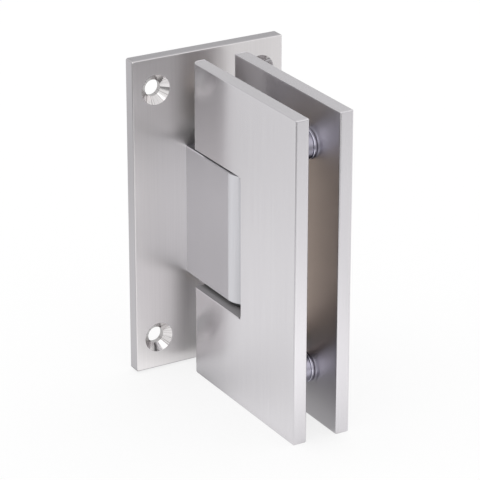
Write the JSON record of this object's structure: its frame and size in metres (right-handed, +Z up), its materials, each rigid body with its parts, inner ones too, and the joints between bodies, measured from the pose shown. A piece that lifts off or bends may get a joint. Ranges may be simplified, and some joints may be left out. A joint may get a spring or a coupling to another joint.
{
  "type": "glass door hinge",
  "caption": "Wall-to-glass door hinge: a drilled wall plate with a round-nosed knuckle block, around which two notched clamp plates swing on a pin with a spring detent.",
  "frame": {"origin": "centre of the wall plate's back face, where it meets the wall", "axes": "+Y into the wall, so the clamp stands out along -Y; +Z up along the hinge axis; +X across the glass, from the front clamp plate to the back one"},
  "size_m": [0.046, 0.0625, 0.0905],
  "materials": {
    "satin_stainless": "satin brushed stainless steel",
    "carrier_brass": "machined brass",
    "ground_steel": "ground steel",
    "bush_plastic": "matte black acetal",
    "spring_wire": "drawn spring wire",
    "plated_post": "turned and bright zinc plated",
    "plated_screw": "zinc plated"
  },
  "bodies": {
    "wall_side": {"wall_plate": "satin_stainless", "knuckle_block": "satin_stainless", "block_screw_upper": "plated_screw", "block_screw_lower": "plated_screw", "pin_bush_upper": "bush_plastic", "pin_bush_lower": "bush_plastic", "thrust_washer_upper": "bush_plastic", "thrust_washer_lower": "bush_plastic", "detent_spring_upper": "spring_wire", "detent_spring_lower": "spring_wire"},
    "door_clamp": {"front_clamp_plate": "satin_stainless", "back_clamp_plate": "satin_stainless", "pivot_carrier": "carrier_brass", "pivot_pin": "ground_steel", "pin_grub_screw_upper": "plated_screw", "pin_grub_screw_lower": "plated_screw", "carrier_screw_upper": "plated_screw", "carrier_screw_lower": "plated_screw", "clamp_post_upper": "plated_post", "clamp_post_lower": "plated_post", "clamp_screw_upper": "plated_screw", "clamp_screw_lower": "plated_screw"},
    "plunger_upper": {"detent_plunger_upper": "ground_steel"},
    "plunger_lower": {"detent_plunger_lower": "ground_steel"}
  },
  "joints": [
    {"name": "door_swing", "type": "hinge", "parent": "wall_side", "child": "door_clamp", "pos_m": [0, -0.026, 0], "axis": [0, 0, 1], "range_deg": [-90, 90]},
    {"name": "plunger_upper_slide", "type": "slide", "parent": "wall_side", "child": "plunger_upper", "axis": [0, -1, 0], "range_m": [0, 0.0004], "stiffness_N_per_m": 250, "springref_m": 0.004, "deforming": ["detent_spring_upper"]},
    {"name": "plunger_lower_slide", "type": "slide", "parent": "wall_side", "child": "plunger_lower", "axis": [0, -1, 0], "range_m": [0, 0.0004], "stiffness_N_per_m": 250, "springref_m": 0.004, "deforming": ["detent_spring_lower"]}
  ],
  "couplings": [
    {"joint": "plunger_lower_slide", "follows": "plunger_upper_slide", "ratio": 1}
  ]
}
